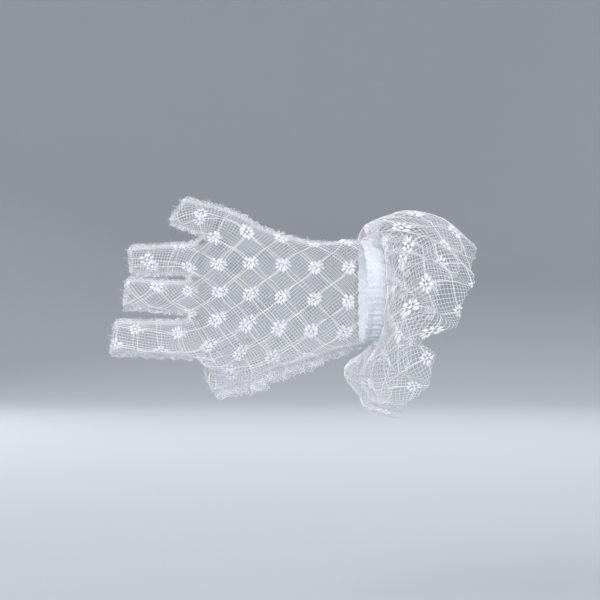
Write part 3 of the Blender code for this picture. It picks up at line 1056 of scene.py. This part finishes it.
def makeRuffleBase():
    columns, rows = ruffle["columns"], ruffle["rows"]
    angle = np.linspace(0, 2 * pi, columns + 1)
    points, flat = [], []
    rng = np.random.default_rng(4)
    harmonics = [(k, rng.uniform(0, 2 * pi), rng.uniform(0.5, 1.0) / k) for k in (3, 5, 7, 11, 13, 17)]
    for row in range(rows + 1):
        share = row / rows
        topX, topZ, lowX, lowZ, half = smoothRings(ruffleRings, share)
        middle = np.array([(topX + lowX) / 2, 0, (topZ + lowZ) / 2])
        rise = np.array([(topX - lowX) / 2, 0, (topZ - lowZ) / 2])
        unit = rise / np.linalg.norm(rise)
        bow = wristLean * 1.15 * np.clip(np.sin(angle), 0, 1) * (1 - share) ** 2
        around = angle.copy()
        heap = np.zeros_like(angle)
        lap = np.interp(share, [0, 0.08, 0.45, 0.75, 1], [0.55, 1, 1, 0.45, 0.15])
        for place, wide, push in ruffleFolds:
            t = np.clip((angle - place - 0.10 * share * np.sin(place * 5)) / wide, -1, 1)
            around -= push * lap * np.sin(pi * t) * (1 - t * t)
            heap -= 0.0016 * lap * np.sin(pi * t)
        drift = 0.35 * share * np.sin(2 * angle + 0.7)
        folds = sum(size * np.cos(k * (angle + drift / k * 2) + phase) for k, phase, size in harmonics)
        big = 0.0105 * share ** 1.1 * folds
        pleats = 0.0017 * (np.exp(-6.0 * share) + 0.12) * (
            np.sin(41 * angle + 2.1 * np.sin(3 * angle)) + 0.5 * np.sin(67 * angle + share * 3))
        outward = unit * np.cos(around)[:, None] + np.array([0, -1.0, 0]) * np.sin(around)[:, None]
        spot = middle + rise * np.cos(around)[:, None] + np.array([0, -half, 0]) * np.sin(around)[:, None]
        spot = spot + outward * ((big + pleats + heap) * min(1, share * 12))[:, None]
        # the near half of the free edge swings out along the arm and has one deep fold
        front = np.clip(np.sin(angle), 0, 1)
        lobe = 0.0120 * front ** 0.7 - 0.0165 * np.exp(-((angle - 1.62) / 0.13) ** 2)
        lobe -= 0.0040 * np.exp(-((angle - 2.35) / 0.12) ** 2)
        spot[:, 0] += lobe * share ** 2 + bow
        hump = np.sin(pi * np.clip((share - 0.04) / 0.62, 0, 1)) ** 1.2
        for spotAngle, wide, push in ((0.42, 0.30, -0.0150), (5.75, 0.34, -0.0170), (3.10, 0.46, -0.0150)):
            spot[:, 0] += push * hump * np.exp(-((angle - spotAngle) / wide) ** 2)
        spot[:, 0] += share * 0.0022 * np.sin(9 * angle + 0.5)
        spot[:, 2] += share ** 1.5 * 0.0020 * np.sin(7 * angle + 2)
        points.append(spot[:-1])
        flat.append(np.stack([angle / (2 * pi) * ruffle["fullness"] - ruffle["fullness"] / 2,
                              np.full(columns + 1, (share - 0.5) * ruffle["depth"])], 1))
    points = np.array(points)
    faces, corners = [], []
    for row in range(rows):
        for n in range(columns):
            m = (n + 1) % columns
            faces.append((row * columns + n, row * columns + m,
                          (row + 1) * columns + m, (row + 1) * columns + n))
            corners += [flat[row][n], flat[row][n + 1], flat[row + 1][n + 1], flat[row + 1][n]]
    base = makeMeshObject("ruffle_base", points.reshape(-1, 3), faces)
    layer = base.data.uv_layers.new(name="flat")
    layer.data.foreach_set("uv", (np.array(corners) / flatSide + 0.5).astype(np.float32).ravel())
    return base


spread = np.array([[-0.5, -0.5], [0.5, 0.5]]) * (ruffle["fullness"], ruffle["depth"])
ruffleLace = layLace(makeRuffleBase(), spread, "ruffle_lace", np.array([0.004, 0.006]),
                     net=0.000106, line=0.00019, scale=1.12)
pieces["ruffle_lace"] = {"object": ruffleLace, "body": "hand", "cad": ["ruffle"]}
sheets["ruffle_lace"] = {"flat": [ruffle["fullness"], ruffle["depth"]], "held": "gathered",
                         "area": ruffle["fullness"] * ruffle["depth"]}
ruffleLace.data.calc_loop_triangles()
print("ruffle", len(ruffleLace.data.polygons), len(ruffleLace.data.loop_triangles))

# the gathered raw heading that stands beside the elastic
headingRows, headingColumns, headingDepth = 6, 900, 0.0062
for label, x, rise, reach, phase in (("lower", 0.0052, 0.0016, 0.0048, 0.0),
                                     ("upper", 0.0070, 0.0030, 0.0038, 1.4)):
    line, angle, outward = wristLine(x, elastic["wall"] * 0.4, headingColumns)
    rows = []
    for v in np.arange(headingRows) / (headingRows - 1):
        wave = 0.0011 * v * (np.sin(angle * 52 + phase) + 0.5 * np.sin(angle * 83 + 2 * phase))
        spot = line + outward * (rise * v + wave * 0.7)[:, None]
        spot[:, 0] += reach * v + wave * 0.6
        rows.append(np.concatenate([spot, spot[:1]]))
    us = np.linspace(-0.15, 0.15, headingColumns + 1)
    vs = np.outer(np.linspace(0, headingDepth, headingRows), np.ones(headingColumns + 1))
    base, flat = stripBase("heading", np.array(rows), us, vs)
    strip = layLace(base, flat, f"ruffle_heading_{label}", np.array([0.001 + 0.003 * phase, 0.0012]),
                    net=0.00011, line=0.00018, scale=0.8)
    addHem("ruffle_lace", strip, "hand", ["ruffle_heading"])
line, angle, outward = wristLine(0.0078, elastic["wall"] + 0.0012, 240)
hairs = runTree(hairTree, makeGuide(line, True), "ruffle_heading_threads",
                {"Count": 330, "Length": 0.0036, "Direction": (0.8, 0, 0), "Thread Radius": 0.00008,
                 "Spread": 1.0})
addHem("ruffle_lace", hairs, "hand")
loops = runTree(loopTree, makeGuide(line, True), "ruffle_heading_overlock",
                {"Count": 150, "Loop Radius": 0.0009, "Thread Radius": 0.00013})
addHem("ruffle_lace", loops, "hand")


# hand pieces go with the hand body, the others keep their baked place; the parts each piece replaces are
# hidden
for name, piece in pieces.items():
    obj = piece["object"]
    if piece["body"] == "hand":
        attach(obj, "hand")
    else:
        joint = joints[piece["body"]]
        start = joint["place"] - joint["out"] * 0.002
        piece["body"] + "_stall"
        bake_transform(obj)
    if piece.get("cad"):
        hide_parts(*piece["cad"])
    ("elastic" if "elastic" in name else "lace" if "lace" in name or "edge" in name
            or name in ("ruffle_heading_lower", "ruffle_heading_upper") else "thread")
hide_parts("back_panel")
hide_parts("palm_panel")
for digit in digitNames:
    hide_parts(f"{digit}_stall_back", f"{digit}_root", f"{digit}_ulnar_seam", f"{digit}_radial_seam")
    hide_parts(f"{digit}_stall_palm")
for name, facts in sheets.items():
    [] if name != "ruffle_lace" else ["wrist_elastic_band"]


def makeFloor():  # a round studio floor that curves up far away on every side
    profile = [(0.0, -0.24), (2.4, -0.24)]
    profile += [(2.4 + 1.1 * sin(n * pi / 24), 0.86 - 1.1 * cos(n * pi / 24)) for n in range(1, 13)]
    profile += [(3.5, 2.2)]
    count = 64
    points = [(r * cos(2 * pi * n / count), r * sin(2 * pi * n / count), z)
              for r, z in profile[1:] for n in range(count)]
    points.append((0, 0, profile[0][1]))
    faces = [(len(points) - 1, n, (n + 1) % count) for n in range(count)]
    for ring in range(len(profile) - 2):
        faces += [(ring * count + n, (ring + 1) * count + n, (ring + 1) * count + (n + 1) % count,
                   ring * count + (n + 1) % count) for n in range(count)]
    obj = makeMeshObject("floor", points, faces)
    obj.data.shade_smooth()
    material = bpy.data.materials.new("plain_floor")
    material.use_nodes = True
    shader = material.node_tree.nodes["Principled BSDF"]
    shader.inputs["Base Color"].default_value = colour(178, 181, 186)
    shader.inputs["Roughness"].default_value = 0.9
    shader.inputs["Specular IOR Level"].default_value = 0.1
    obj.data.materials.append(material)
    return obj


def makeLight(name, place, size, power, aim=(-0.04, 0, -0.005)):
    light = bpy.data.lights.new(name, "AREA")
    light.shape = "DISK"
    light.size = size
    light.energy = power
    obj = bpy.data.objects.new(name, light)
    obj.location = place
    obj.rotation_euler = (Vector(aim) - Vector(place)).to_track_quat("-Z", "Y").to_euler()
    bpy.context.scene.collection.objects.link(obj)
    return obj


floor = makeFloor()
lights = [makeLight("key_light", (-1.3, -2.3, 1.5), 0.9, 62),
          makeLight("fill_light", (1.7, -2.0, 0.5), 1.2, 20),
          makeLight("rim_light", (0.5, 2.0, 1.5), 1.0, 36),
          makeLight("rear_light", (-1.5, 1.9, 0.5), 1.0, 22)]
world = bpy.data.worlds.new("studio")
world.use_nodes = True
world.node_tree.nodes["Background"].inputs["Color"].default_value = colour(180, 184, 190)
world.node_tree.nodes["Background"].inputs["Strength"].default_value = 1.0
bpy.context.scene.world = world
bpy.context.scene.view_settings.view_transform = "Standard"

cameraData = bpy.data.cameras.new("camera")
cameraData.lens = 85
cameraData.sensor_width = 36
camera = bpy.data.objects.new("camera", cameraData)
camera.location = (-0.0414, -0.85, -0.0042)
camera.rotation_euler = (pi / 2, 0, 0)
bpy.context.scene.collection.objects.link(camera)
bpy.context.scene.camera = camera

print("pieces", len(pieces), "faces", sum(len(p["object"].data.polygons) for p in pieces.values()))
